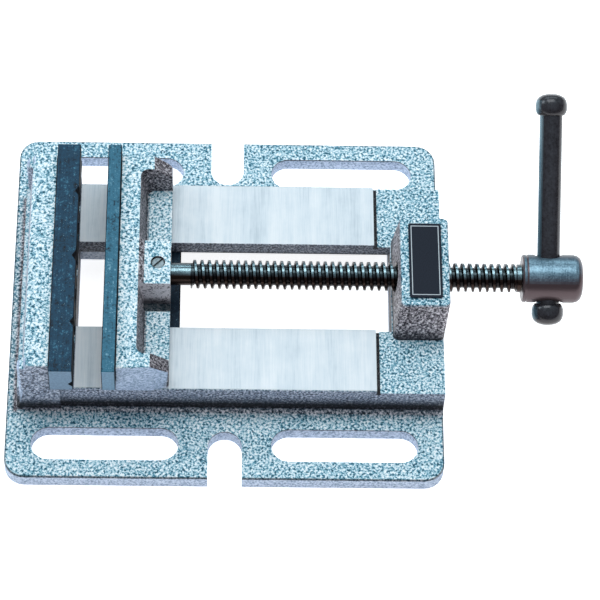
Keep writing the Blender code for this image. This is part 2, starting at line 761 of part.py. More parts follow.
def handle(steel):
    """The sliding bar, at rest with its lower cap against the hub."""
    low = -(HUB_RADIUS + GAP)
    high = low + HANDLE_LENGTH
    shoulder = CAP_SOCKET - GAP
    bar = [
        (SPIGOT_RADIUS, high + SPIGOT_LENGTH),
        (SPIGOT_RADIUS, high + shoulder),
        (HANDLE_RADIUS, high + shoulder),
        (HANDLE_RADIUS, low - shoulder),
        (SPIGOT_RADIUS, low - shoulder),
        (SPIGOT_RADIUS, low - SPIGOT_LENGTH),
    ]
    turned("handle_bar", bar, HANDLE_CENTRE, HANDLE_AXIS, steel, 32)
    for name, place, side in (("handle_cap_upper", high, 1), ("handle_cap_lower", low, -1)):
        bore = SPIGOT_RADIUS + GAP
        cap = [
            (2 * MM, CAP_LENGTH),
            (4 * MM, CAP_LENGTH - 0.6 * MM),
            (5.4 * MM, CAP_LENGTH - 1.5 * MM),
            (6.2 * MM, CAP_LENGTH - 2.7 * MM),
            (CAP_RADIUS, CAP_LENGTH - 4.4 * MM),
            (CAP_RADIUS, 2.4 * MM),
            (6.2 * MM, 1.1 * MM),
            (5.7 * MM, 0.3 * MM),
            (5.3 * MM, 0),
            (HANDLE_RADIUS + GAP, 0),
            (HANDLE_RADIUS + GAP, CAP_SOCKET),
            (bore, CAP_SOCKET),
            (bore, SPIGOT_LENGTH + GAP),
        ]
        centre = HANDLE_CENTRE + HANDLE_AXIS * place
        turned(name, cap, centre, HANDLE_AXIS * side, steel, 32)


def jaw_set_screw(material):
    """The slotted grub screw whose tip sits in the lead screw's groove."""
    tip = SCREW_Z + NOSE_GROOVE + GAP
    top = BOSS_TOP - 0.7 * MM
    profile = [
        (SET_SCREW_RADIUS - 0.3 * MM, top),
        (SET_SCREW_RADIUS, top - 0.3 * MM),
        (SET_SCREW_RADIUS, tip + 2 * MM),
        (SET_SCREW_RADIUS - 0.5 * MM, tip + 1.5 * MM),
        (1.4 * MM, tip + 1.5 * MM),
        (1.4 * MM, tip),
    ]
    obj = turned("jaw_set_screw", profile, (SET_SCREW_X, 0, 0), (0, 0, 1), material, 24)
    slot = block((-4 * MM, 4 * MM), (-0.45 * MM, 0.45 * MM), (top - 1.1 * MM, top + 2 * MM))
    turn = Matrix.Translation((SET_SCREW_X, 0, 0)) @ Matrix.Rotation(math.radians(45), 4, "Z")
    bmesh.ops.transform(slot, matrix=turn, verts=slot.verts)
    cut(obj, slot)
    return obj


def label_plate(material):
    bm = block(
        (149.8 * MM, 163.3 * MM), (-17.9 * MM, 17.9 * MM), (HOUSING_TOP + GAP, HOUSING_TOP + 0.8 * MM)
    )
    bevelled(bm, 0.8 * MM, 2, upright)
    return part("label_plate", bm, material, 30)


clear_scene()
VISE = new_collection("drill_press_vise")
CUTTERS = new_collection("cutters")

paint = new_material("hammer_paint", (0.55, 0.68, 0.74), 0.45, 0.3)
jaw_paint = new_material("hammer_paint_jaw", (0.55, 0.68, 0.74), 0.45, 0.3)
blued = new_material("blued_steel", (0.07, 0.16, 0.22), 0.4, 0.9)
blued_thin = new_material("blued_steel_thin", (0.07, 0.16, 0.22), 0.4, 0.9)
keeper_steel = new_material("keeper_steel", (0.04, 0.09, 0.13), 0.5, 0.9)
thread_steel = new_material("black_oxide", (0.03, 0.025, 0.025), 0.35, 0.9)
hub_steel = new_material("hub_steel", (0.22, 0.25, 0.27), 0.35, 1.0)
bar_steel = new_material("handle_black", (0.02, 0.018, 0.018), 0.35, 0.8)
screw_steel = new_material("fastener_black", (0.03, 0.03, 0.03), 0.4, 0.9)
zinc = new_material("fastener_zinc", (0.5, 0.52, 0.54), 0.35, 1.0)
pin_steel = new_material("pin_steel", (0.35, 0.35, 0.36), 0.3, 1.0)
label_ink = new_material("label_dark", (0.02, 0.025, 0.035), 0.5, 0.0)

base_casting(paint)
fixed_jaw_plate(blued)
moving_jaw(jaw_paint)
moving_jaw_plate(blued_thin)
keeper_plate(keeper_steel)
for side, label in ((1, "back"), (-1, "front")):
    plate_screw(f"fixed_jaw_screw_{label}", FIXED_FACE, -1, side, screw_steel)
    plate_screw(f"moving_jaw_screw_{label}", MOVING_FACE, 1, side, screw_steel)
    keeper_fasteners(side, label, zinc, screw_steel)
lead_screw(thread_steel)
screw_hub(hub_steel)
hub_pin(pin_steel)
handle(bar_steel)
jaw_set_screw(pin_steel)
label_plate(label_ink)
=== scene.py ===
"""Drill-press vise: finishes for every piece, a smooth lead screw, floor, light and camera."""

import json
import math

import bmesh
import bpy
from mathutils import Matrix, Vector


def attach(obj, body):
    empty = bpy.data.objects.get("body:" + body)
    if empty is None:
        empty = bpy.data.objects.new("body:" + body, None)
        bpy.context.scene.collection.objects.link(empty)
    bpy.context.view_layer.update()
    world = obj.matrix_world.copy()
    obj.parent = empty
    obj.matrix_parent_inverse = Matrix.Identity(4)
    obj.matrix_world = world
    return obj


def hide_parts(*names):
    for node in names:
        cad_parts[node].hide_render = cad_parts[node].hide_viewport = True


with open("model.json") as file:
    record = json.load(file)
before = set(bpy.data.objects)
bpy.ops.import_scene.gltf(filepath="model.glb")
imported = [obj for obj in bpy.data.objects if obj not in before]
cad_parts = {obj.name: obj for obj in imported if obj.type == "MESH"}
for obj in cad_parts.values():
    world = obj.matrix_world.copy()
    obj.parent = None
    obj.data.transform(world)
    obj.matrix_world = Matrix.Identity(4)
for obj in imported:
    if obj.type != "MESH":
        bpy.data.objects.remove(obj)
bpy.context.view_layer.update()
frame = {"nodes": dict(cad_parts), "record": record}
MM = 0.001
SCREW_Z = 31.5 * MM
THREAD_START = 60.1 * MM
THREAD_END = 194.7 * MM
THREAD_PITCH = 3 * MM
CREST = 5.99 * MM
ROOT = 4.25 * MM
NECK = 4.65 * MM
GROOVE = 3.3 * MM
TENON = 4 * MM
SCREW_END = 201.9 * MM
PIN_X = 199.7 * MM
AROUND = 56
MERGE = 0.002 * MM
LABEL_X = 156.55 * MM
FLANGE_TOP = 7 * MM
PAD_TOP = 21.5 * MM
RAIL_TOP = 23 * MM
RAIL_END = 136.9 * MM
POCKET_FLOOR = 27.3 * MM
HOUSING_LEFT = 143.7 * MM
HOUSING_TOP = 44 * MM
BODY_OF = {
    node: body for body, nodes in frame["record"]["behaviour"]["bodies"].items() for node in nodes
}


# --- surface maths ---------------------------------------------------------------------------


class Amount:
    """A number that varies over a surface. Python operators on it add Math nodes."""

    def __init__(self, recipe, socket):
        self.recipe = recipe
        self.socket = socket

    def maths(self, operation, *terms):
        terms = terms or (self,)
        return self.recipe.node("ShaderNodeMath", {"operation": operation}, dict(enumerate(terms)))

    def __add__(self, other):
        return self.maths("ADD", self, other)

    def __sub__(self, other):
        return self.maths("SUBTRACT", self, other)

    def __mul__(self, other):
        return self.maths("MULTIPLY", self, other)

    def __rsub__(self, other):
        return self.maths("SUBTRACT", other, self)

    __radd__ = __add__
    __rmul__ = __mul__

    def above(self, edge, soft):
        """0 below edge - soft, 1 above edge + soft."""
        return self.recipe.node(
            "ShaderNodeMapRange",
            {"clamp": True},
            {"Value": self, "From Min": edge - soft, "From Max": edge + soft},
        )

    def below(self, edge, soft):
        return 1 - self.above(edge, soft)

    def at_most(self, limit):
        return self.maths("MINIMUM", self, limit)

    def size(self):
        return self.maths("ABSOLUTE", self)


class Recipe:
    """A node tree, and the one method that adds nodes to it."""

    def __init__(self, tree):
        self.tree = tree

    def node(self, kind, settings, inputs, output=0):
        made = self.tree.nodes.new(kind)
        for key, value in settings.items():
            if key == "stops":
                self.set_stops(made.color_ramp, value)
            else:
                setattr(made, key, value)
        for key, value in inputs.items():
            self.connect(made.inputs[key], value)
        return Amount(self, made.outputs[output])

    def set_stops(self, ramp, stops):
        while len(ramp.elements) < len(stops):
            ramp.elements.new(1)
        for element, (position, colour) in zip(ramp.elements, stops):
            element.position = position
            element.color = (*colour, 1)

    def connect(self, socket, value):
        if isinstance(value, Amount):
            self.tree.links.new(value.socket, socket)
        elif hasattr(socket.default_value, "__len__") and not hasattr(value, "__len__"):
            socket.default_value = [value] * len(socket.default_value)
        elif hasattr(value, "__len__") and len(socket.default_value) == 4:
            socket.default_value = (*value, 1)
        else:
            socket.default_value = value

    def part(self, vector, letter):
        """One component of a vector."""
        return self.node("ShaderNodeSeparateXYZ", {}, {"Vector": vector}, letter)

    def ramp(self, amount, stops):
        return self.node("ShaderNodeValToRGB", {"stops": stops}, {"Fac": amount}, "Color")


class Finish(Recipe):
    """One procedural material, read in the vise's own coordinates."""

    def __init__(self, name, specular=0.5):
        self.material = bpy.data.materials.new(name)
        self.material.use_nodes = True
        super().__init__(self.material.node_tree)
        self.shader = self.tree.nodes["Principled BSDF"]
        self.shader.inputs["Specular IOR Level"].default_value = specular
        self.place = self.node("ShaderNodeTexCoord", {}, {}, "Object")
        self.x, self.y, self.z = (self.part(self.place, letter) for letter in "XYZ")

    def facing(self, letter):
        """How squarely a face points along an axis of the world, from -1 to 1."""
        normal = self.node("ShaderNodeNewGeometry", {}, {}, "True Normal")
        return self.part(normal, letter)

    def stretched(self, x, y, z):
        """The coordinates scaled by a factor on each axis."""
        return self.node(
            "ShaderNodeVectorMath", {"operation": "MULTIPLY"}, {0: self.place, 1: (x, y, z)}
        )

    def noise(self, grain, detail=2.0, rough=0.5, warp=0.0, place=None):
        """Noise whose blotches are about grain metres across."""
        return self.node(
            "ShaderNodeTexNoise",
            {},
            {
                "Vector": place or self.place,
                "Scale": 1 / grain,
                "Detail": detail,
                "Roughness": rough,
                "Distortion": warp,
            },
            "Fac",
        )

    def mix(self, factor, first, second):
        return self.node(
            "ShaderNodeMix",
            {"data_type": "RGBA", "clamp_factor": True},
            {0: factor, 6: first, 7: second},
            2,
        )

    def relief(self, height, depth, strength=1.0):
        bump = self.node(
            "ShaderNodeBump", {}, {"Height": height, "Distance": depth, "Strength": strength}
        )
        self.connect(self.shader.inputs["Normal"], bump)

    def colour(self, value):
        self.connect(self.shader.inputs["Base Color"], value)

    def rough(self, value):
        self.connect(self.shader.inputs["Roughness"], value)

    def metal(self, value):
        self.connect(self.shader.inputs["Metallic"], value)


# --- finishes --------------------------------------------------------------------------------

ENAMEL = (
    (0.36, (0.005, 0.06, 0.10)),
    (0.43, (0.09, 0.31, 0.42)),
    (0.49, (0.41, 0.62, 0.70)),
    (0.55, (0.68, 0.80, 0.85)),
    (0.62, (0.93, 0.97, 0.98)),
)
# Painted shade: a darker, duller copy of the enamel for upright walls.
SHADED_ENAMEL = (
    (0.38, (0.05, 0.055, 0.075)),
    (0.47, (0.17, 0.21, 0.285)),
    (0.55, (0.31, 0.36, 0.46)),
    (0.63, (0.62, 0.66, 0.75)),
)
# Painted shade: a brown, darker copy of the enamel for walls and feet that lie in shade.
BROWN_SHADE_ENAMEL = (
    (0.40, (0.025, 0.018, 0.022)),
    (0.48, (0.17, 0.15, 0.17)),
    (0.55, (0.36, 0.33, 0.36)),
    (0.62, (0.80, 0.76, 0.79)),
)
# Painted shade: a near-black copy of the enamel for hollows, grooves and the feet of walls.
BLACK_SHADE_ENAMEL = (
    (0.42, (0.003, 0.003, 0.005)),
    (0.54, (0.012, 0.011, 0.017)),
    (0.66, (0.09, 0.085, 0.10)),
)
# A paler, less contrasting copy of the enamel: painted light on the base's lower walls, a painted
# highlight on its rounded corners, and the moving jaw's ends.
PALE_EVEN_ENAMEL = (
    (0.40, (0.22, 0.30, 0.42)),
    (0.52, (0.38, 0.48, 0.64)),
    (0.64, (0.55, 0.64, 0.78)),
)


def enamel_speckle(finish):
    """Irregular flecks under a millimetre across, over a slower drift in tone."""
    fleck = finish.noise(0.98 * MM, detail=2, rough=0.6, warp=0.4)
    drift = finish.noise(14 * MM, detail=2, rough=0.5)
    return fleck * 0.93 + drift * 0.07


def casting_finish(name, zones, ground=None):
    """Hammered enamel: pale on top, with painted shade, duller on upright walls and brown or black in
    the hollows.
    """
    finish = Finish(name, specular=0.3)
    speckle = enamel_speckle(finish)
    upright = finish.facing("Z").below(0.5, 0.2)
    brown, black, fine, dim = zones(finish, upright)
    tone = speckle - dim
    # Painted shade: upright walls take the shaded enamel, and the brown and black zones take the brown
    # and black shade enamels; the paler enamel is painted light on the base and lies on the moving
    # jaw's ends.
    paint = finish.mix(upright, finish.ramp(tone, ENAMEL), finish.ramp(tone, SHADED_ENAMEL))
    paint = finish.mix(fine, paint, finish.ramp(tone, PALE_EVEN_ENAMEL))
    paint = finish.mix(brown, paint, finish.ramp(tone, BROWN_SHADE_ENAMEL))
    paint = finish.mix(black, paint, finish.ramp(tone, BLACK_SHADE_ENAMEL))
    rough = 0.5 + speckle * 0.12
    metal = speckle * 0.05
    height = speckle
    if ground is not None:
        steel, polished = ground(finish)
        paint = finish.mix(steel, paint, polished)
        rough = rough * (1 - steel) + steel * 0.5
        metal = metal + steel * 0.1
        height = speckle * (1 - steel)
    finish.colour(paint)
    finish.rough(rough)
    finish.metal(metal)
    finish.relief(height, 0.12 * MM, 0.4)
    return finish.material


def base_zones(finish, upright):
    """Where the base's enamel takes brown or black painted shade, where it takes painted light, and
    where its tone is a little darker or lighter.
    """
    x, y, z = finish.x, finish.y.size(), finish.z
    above_flange = z.above(FLANGE_TOP + 0.1 * MM, 0.2 * MM)
    walls = y.below(54 * MM, 0.4 * MM) * x.below(166 * MM, 1 * MM)
    # Painted shade: the side walls go black towards their foot, and a brown fringe lies on the flange
    # beside them.
    wall_foot = z.below(FLANGE_TOP + 7.6 * MM, 3 * MM) * walls
    wall_foot = wall_foot * z.above(FLANGE_TOP + 1.4 * MM, 0.5 * MM)
    fringe = z.below(FLANGE_TOP + 1.6 * MM, 0.5 * MM) * above_flange * walls * 0.8
    # Painted shade: the housing's upright walls turn brown, and black towards their foot.
    housing = x.above(HOUSING_LEFT - 1.7 * MM, 0.2 * MM) * z.above(PAD_TOP + 0.2 * MM, 0.1 * MM)
    housing_foot = z.below(PAD_TOP + 3.7 * MM, 3 * MM) * housing
    # Painted shade in the relief groove where the rails end.
    groove = z.below(PAD_TOP - 0.2 * MM, 0.1 * MM) * z.above(PAD_TOP - 1.6 * MM, 0.1 * MM)
    groove = groove * (x - (RAIL_END + 0.7 * MM)).size().below(1 * MM, 0.1 * MM)
    # Painted shade: a brown band along the foot of the fixed jaw's outer wall.
    jaw_foot = x.below(-10.6 * MM, 0.5 * MM) * x.above(-12.4 * MM, 0.6 * MM)
    jaw_foot = jaw_foot * z.below(12 * MM, 3 * MM) * y.below(52.5 * MM, 0.6 * MM)
    # Painted shade on the upright walls between the rails, under their tops.
    hidden = z.below(RAIL_TOP - 0.6 * MM, 0.2 * MM) * y.below(43 * MM, 0.5 * MM)
    hidden = hidden * x.above(12 * MM, 0.5 * MM) * x.below(HOUSING_LEFT + 0.2 * MM, 0.1 * MM) * upright
    black = (wall_foot + housing_foot * 0.92 + groove + hidden * 0.45).at_most(1)
    brown = (fringe + housing * upright + jaw_foot * 0.8).at_most(1)
    rim = z.above(HOUSING_TOP - 0.5 * MM, 0.2 * MM) * x.above(144 * MM, 1 * MM) * 0.035
    pads = z.below(PAD_TOP + 0.3 * MM, 0.1 * MM) * z.above(PAD_TOP - 0.5 * MM, 0.1 * MM)
    pads = pads * x.above(138 * MM, 0.5 * MM)
    # Painted shade: a dark line along the flange's top edge.
    lip = z.above(FLANGE_TOP - 0.75 * MM, 0.1 * MM) * z.below(FLANGE_TOP - 0.03 * MM, 0.02 * MM)
    black = (black + lip * 0.7).at_most(1)
    # Painted light: the flange's side and slot walls take the paler enamel and a lighter tone.
    edges = upright * z.below(FLANGE_TOP - 0.7 * MM, 0.1 * MM)
    # Painted highlight: the rounded corners that turn left take the paler enamel.
    leftward = finish.facing("X")
    corner = leftward.below(-0.3, 0.08) * leftward.above(-0.9, 0.05)
    corner = corner * y.above(47 * MM, 0.5 * MM) * z.above(10 * MM, 1 * MM)
    flat = z.below(FLANGE_TOP + 0.3 * MM, 0.1 * MM) * z.above(FLANGE_TOP - 0.2 * MM, 0.1 * MM)
    return brown, black, edges * 0.7 + corner, rim + pads * 0.02 + flat * 0.012 - edges * 0.06


def jaw_zones(finish, upright):
    """Where the moving jaw's enamel takes brown or black painted shade, its smoother ends, and painted
    light on its boss.
    """
    x, y, z = finish.x, finish.y.size(), finish.z
    # Painted shade: the pocket's upright walls turn brown.
    inside = y.below(46.5 * MM, 0.6 * MM) * x.above(38.4 * MM, 0.2 * MM)
    # Painted shade: faces that point to the rear turn brown and partly black.
    backward = finish.facing("X").above(0.35, 0.1)
    # Painted shade: black along the foot of the pocket's walls and in the grooves beside the boss.
    foot = z.below(POCKET_FLOOR + 1.7 * MM, 1.2 * MM) * z.above(POCKET_FLOOR - 0.2 * MM, 0.05 * MM)
    foot = foot * upright
    groove = z.below(POCKET_FLOOR - 0.2 * MM, 0.1 * MM) * z.above(24.4 * MM, 0.1 * MM)
    black = (foot * 0.6 + groove * 0.85 + backward * 0.4).at_most(1)
    brown = (upright * inside + backward).at_most(1)
    ends = y.above(49.5 * MM, 0.3 * MM) * finish.facing("Y").size().above(0.6, 0.1)
    # Painted light: the boss's sides are made lighter.
    boss = y.above(9 * MM, 0.5 * MM) * y.below(12 * MM, 0.5 * MM) * upright * -0.15
    return brown * (1 - ends), black * (1 - ends), ends, boss


def ground_rails(finish):
    """The tops of the rails: surface-ground steel with cross-bands left by the wheel."""
    top = finish.z.above(RAIL_TOP - 0.15 * MM, 0.05 * MM) * finish.z.below(24 * MM, 0.3 * MM)
    top = top * finish.facing("Z").above(0.75, 0.1)
    top = top * finish.x.above(12 * MM, 0.1 * MM)
    top = top * finish.x.below(RAIL_END + 0.05 * MM, 0.03 * MM)
    lines = finish.noise(1, detail=3, rough=0.6, place=finish.stretched(1300, 60, 1))
    bands = finish.noise(1, detail=2, rough=0.5, place=finish.stretched(120, 5, 1))
    stain = finish.noise(9 * MM, detail=3, rough=0.6)
    tone = lines * 0.3 + bands * 0.5 + stain * 0.2
    polished = finish.ramp(
        tone,
        ((0.34, (0.50, 0.57, 0.62)), (0.46, (0.66, 0.72, 0.76)), (0.6, (0.78, 0.81, 0.83))),
    )
    return top, polished


def blued_finish(name, dark, mid, pale, end_tone):
    """Dark ground steel, scratched and flecked; the sawn ends of a plate stay paler, and painted shade
    turns its gripping faces almost black.
    """
    finish = Finish(name, specular=0.2)
    bloom = finish.noise(5 * MM, detail=4, rough=0.7)
    grain = finish.noise(0.9 * MM, detail=2, rough=0.6)
    wheel = finish.noise(1, detail=2, rough=0.5, place=finish.stretched(1100, 70, 200))
    nicks = finish.noise(0.8 * MM, detail=3, rough=0.7, warp=0.8).above(0.68, 0.03)
    tone = bloom * 0.4 + grain * 0.35 + wheel * 0.25
    face = finish.ramp(tone, ((0.37, dark), (0.48, mid), (0.55, mid), (0.63, pale)))
    face = finish.mix(nicks * 0.7, face, (0.35, 0.62, 0.74))
    # Painted shade: the faces that point along X, the gripping faces, go almost black.
    gripping = finish.facing("X").size().above(0.5, 0.1)
    face = finish.mix(gripping, face, (0.006, 0.008, 0.012))
    end = finish.facing("Y").size().above(0.8, 0.1)
    sawn = tuple(0.8 * part for part in end_tone)
    finish.colour(
        finish.mix(end, face, finish.ramp(grain, ((0.4, sawn), (0.6, end_tone))))
    )
    finish.rough(0.5 + grain * 0.2)
    finish.metal(grain * 0.1)
    finish.relief(wheel * 0.4 + grain * 0.6, 0.03 * MM, 0.6)
    return finish.material


def turned_finish(
    name, dark, pale, shade_below, rough, metallic, grain=0.8 * MM, shade=None, shade_below_from=0.45
):
    """Turned steel: fine rings round the screw's axis, a mottled skin, and another, brownish tone
    below as painted shade.
    """
    finish = Finish(name, specular=0.6)
    rings = finish.noise(1, detail=2, rough=0.6, place=finish.stretched(2600, 60, 60))
    mottle = finish.noise(grain, detail=3, rough=0.65)
    patches = finish.noise(6 * MM, detail=3, rough=0.6)
    tone = mottle * 0.5 + patches * 0.35 + rings * 0.15
    skin = finish.ramp(tone, ((0.38, dark), (0.62, pale)))
    # Painted shade: faces that point down take the underside colour; with a high threshold, only faces
    # pointing nearly straight up keep the paler skin, a painted highlight band.
    below = finish.facing("Z").below(shade_below_from, 1 - shade_below_from - 0.05)
    skin = finish.mix(below, skin, shade_below)
    if shade is not None:
        skin = shade(finish, skin)
    finish.colour(skin)
    finish.rough(rough + mottle * 0.16)
    finish.metal(mottle * 0.1 + metallic)
    finish.relief(rings * 0.4 + mottle * 0.6, 0.04 * MM, 0.5)
    return finish.material


def painted_root_shade(finish, skin):
    """Painted shade: the bottom of the thread is darkened to near black."""
    up = finish.z - SCREW_Z
    radius = (finish.y * finish.y + up * up).maths("SQRT")
    root = radius.below(5.1 * MM, 0.5 * MM) * finish.x.above(THREAD_START, 0.2 * MM) * 0.85
    return finish.mix(root, skin, (0.004, 0.004, 0.005))


def shaded_back(finish, skin):
    """Darkens the faces that point to the rear."""
    return finish.mix(finish.facing("Y").above(0.5, 0.25), skin, (0.02, 0.035, 0.045))


def painted_blue_rim(finish, skin):
    """Painted reflection: turns the faces that point left bluish."""
    return finish.mix(finish.facing("X").below(-0.8, 0.12) * 0.6, skin, (0.10, 0.24, 0.31))


def label_finish():
    """A plain dark label with a thin pale rule round its border."""
    finish = Finish("label_print", specular=0.15)
    grain = finish.noise(0.35 * MM, detail=2)
    across, along = (finish.x - LABEL_X).size(), finish.y.size()
    soft = 0.08 * MM
    within = across.below(5.75 * MM, soft) * along.below(16.75 * MM, soft)
    inner = across.below(5.45 * MM, soft) * along.below(16.45 * MM, soft)
    ink = finish.ramp(grain, ((0.3, (0.006, 0.009, 0.016)), (0.7, (0.016, 0.022, 0.036))))
    finish.colour(finish.mix(within - inner, ink, (0.6, 0.66, 0.7)))
    finish.rough(0.55 + grain * 0.15)
    finish.relief(grain, 0.02 * MM, 0.4)
    return finish.material


# --- pieces ----------------------------------------------------------------------------------


def deselect():
    bpy.ops.object.select_all(action="DESELECT")


def activate(obj):
    deselect()
    obj.select_set(True)
    bpy.context.view_layer.objects.active = obj


def finished_copy(node, name, material):
    """The CAD node's own shape, merged and smoothed, with its finish."""
    source = frame["nodes"][node]
    piece = bpy.data.objects.new(name, source.data.copy())
    bpy.context.scene.collection.objects.link(piece)
    activate(piece)
    bpy.ops.object.mode_set(mode="EDIT")
    bpy.ops.mesh.select_all(action="SELECT")
    bpy.ops.mesh.remove_doubles(threshold=MERGE)
    bpy.ops.mesh.dissolve_limited(angle_limit=math.radians(0.5))
    bpy.ops.object.mode_set(mode="OBJECT")
    bpy.ops.object.shade_smooth_by_angle(angle=math.radians(32))
    piece.data.materials.clear()
    piece.data.materials.append(material)
    modifier = piece.modifiers.new("even_normals", "WEIGHTED_NORMAL")
    modifier.keep_sharp = True
    bpy.ops.object.modifier_apply(modifier=modifier.name)
    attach(piece, BODY_OF[node])
    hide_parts(node)


def select_points(obj, *places):
    """Selects only the points with these numbers and any edge between them; returns their places."""
    bpy.ops.mesh.select_all(action="DESELECT")
    mesh = bmesh.from_edit_mesh(obj.data)
    mesh.verts.ensure_lookup_table()
    points = [mesh.verts[place] for place in places]
    for point in points:
        point.select = True
    mesh.select_flush(True)
    return [point.co.copy() for point in points]


def point_chain(points):
    """A chain of edges through (along the screw, distance from its axis) pairs."""
    deselect()
    bpy.ops.mesh.primitive_circle_add(
        vertices=len(points), radius=1, fill_type="NOTHING", location=(0, 0, 0)
    )
    chain = bpy.context.object
    bpy.ops.object.mode_set(mode="EDIT")
    bpy.ops.mesh.select_mode(type="VERT")
    select_points(chain, 0, len(points) - 1)
    bpy.ops.mesh.delete(type="EDGE")
    for place, (along, out) in enumerate(points):
        (start,) = select_points(chain, place)
        bpy.ops.transform.translate(value=Vector((along, 0, out)) - start)
    bpy.ops.object.mode_set(mode="OBJECT")
    return chain


def wound(chain, pitch, turns, steps):
    """Winds the chain round the X axis, moving along it by pitch on each turn."""
    activate(chain)
    screw = chain.modifiers.new("winding", "SCREW")
    screw.axis = "X"
    screw.screw_offset = pitch
    screw.iterations = turns
    screw.steps = screw.render_steps = steps
    screw.use_merge_vertices = pitch == 0
    screw.merge_threshold = 0.01 * MM
    bpy.ops.object.modifier_apply(modifier=screw.name)
    bpy.ops.object.mode_set(mode="EDIT")
    bpy.ops.mesh.select_all(action="SELECT")
    bpy.ops.mesh.remove_doubles(threshold=MERGE)
    bpy.ops.object.mode_set(mode="OBJECT")
    return chain


def trimmed(obj, place, side):
    """Cuts the winding square at place and closes the cut; side +1 removes what is beyond."""
    activate(obj)
    bpy.ops.object.mode_set(mode="EDIT")
    bpy.ops.mesh.select_all(action="SELECT")
    bpy.ops.mesh.bisect(
        plane_co=(place, 0, 0), plane_no=(side, 0, 0), use_fill=True, clear_outer=True
    )
    bpy.ops.object.mode_set(mode="OBJECT")


def screw_thread():
    """A right-hand trapezoidal thread, 12 mm across its crests."""
    first = THREAD_START - 1.47 * THREAD_PITCH
    flat = 0.32 * THREAD_PITCH
    flank = THREAD_PITCH / 2 - flat
    chain = point_chain(
        (
            (first, CREST),
            (first + flat, CREST),
            (first + flat + 0.7 * flank, ROOT + 0.2 * MM),
            (first + flat + flank, ROOT),
            (first + 2 * flat + flank, ROOT),
            (first + 2 * flat + 1.3 * flank, ROOT + 0.2 * MM),
            (first + THREAD_PITCH, CREST),
        )
    )
    turns = math.ceil((THREAD_END - THREAD_START) / THREAD_PITCH) + 2
    thread = wound(chain, THREAD_PITCH, turns, AROUND)
    trimmed(thread, THREAD_START, -1)
    trimmed(thread, THREAD_END, 1)
    return thread


def screw_body():
    """The smooth lengths of the lead screw: nose, groove, neck, shank and tenon."""
    inside = ROOT - 1.2 * MM
    chain = point_chain(
        (
            (36 * MM, 0),
            (36 * MM, 3.65 * MM),
            (37 * MM, NECK),
            (44.8 * MM, NECK),
            (44.8 * MM, GROOVE),
            (48.4 * MM, GROOVE),
            (48.4 * MM, NECK),
            (THREAD_START + 1.4 * MM, NECK),
            (THREAD_START + 1.9 * MM, inside),
            (THREAD_END - 1.9 * MM, inside),
            (THREAD_END - 1.4 * MM, NECK),
            (THREAD_END + 0.4 * MM, NECK),
            (THREAD_END + 0.5 * MM, 5.8 * MM),
            (197 * MM, 5.9 * MM),
            (197.1 * MM, TENON),
            (SCREW_END, TENON),
            (SCREW_END, 0),
        )
    )
    return wound(chain, 0, 1, AROUND)


def bored(obj, place, radius, length):
    """A cross hole along Y."""
    deselect()
    bpy.ops.mesh.primitive_cylinder_add(
        vertices=24, radius=radius, depth=length, location=place, rotation=(math.pi / 2, 0, 0)
    )
    drill = bpy.context.object
    activate(obj)
    hole = obj.modifiers.new("cross_hole", "BOOLEAN")
    hole.operation, hole.solver, hole.object = "DIFFERENCE", "EXACT", drill
    bpy.ops.object.modifier_apply(modifier=hole.name)
    bpy.data.objects.remove(drill, do_unlink=True)


def outward(obj):
    """Turns every face outwards."""
    activate(obj)
    bpy.ops.object.mode_set(mode="EDIT")
    bpy.ops.mesh.select_all(action="SELECT")
    bpy.ops.mesh.normals_make_consistent(inside=False)
    bpy.ops.object.mode_set(mode="OBJECT")


def smooth_lead_screw(material):
    """The lead screw with its thread wound finely enough to look turned."""
    thread, body = screw_thread(), screw_body()
    for shell in (thread, body):
        outward(shell)
        bpy.ops.object.mode_set(mode="EDIT")
        bpy.ops.mesh.select_all(action="SELECT")
        bpy.ops.transform.translate(value=(0, 0, SCREW_Z))
        bpy.ops.object.mode_set(mode="OBJECT")
    bored(body, (PIN_X, 0, SCREW_Z), 1.55 * MM, 20 * MM)
    deselect()
    body.select_set(True)
    thread.select_set(True)
    bpy.context.view_layer.objects.active = thread
    bpy.ops.object.join()
    thread.name = "lead_screw_turned"
    activate(thread)
    bpy.ops.object.shade_smooth_by_angle(angle=math.radians(38))
    thread.data.materials.clear()
    thread.data.materials.append(material)
    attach(thread, BODY_OF["lead_screw"])
    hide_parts("lead_screw")


paint = casting_finish("hammered_enamel_base", base_zones, ground_rails)
jaw_paint = casting_finish("hammered_enamel_jaw", jaw_zones)
fixed_steel = blued_finish(
    "blued_steel_fixed",
    (0.004, 0.006, 0.010),
    (0.011, 0.048, 0.088),
    (0.06, 0.20, 0.30),
    (0.19, 0.29, 0.40),
)
moving_steel = blued_finish(
    "blued_steel_moving",
    (0.006, 0.012, 0.022),
    (0.038, 0.15, 0.225),
    (0.20, 0.40, 0.50),
    (0.18, 0.31, 0.43),
)
keeper_steel = blued_finish(
    "blued_steel_keeper",
    (0.004, 0.008, 0.014),
    (0.010, 0.028, 0.05),
    (0.03, 0.07, 0.10),
    (0.02, 0.045, 0.07),
)
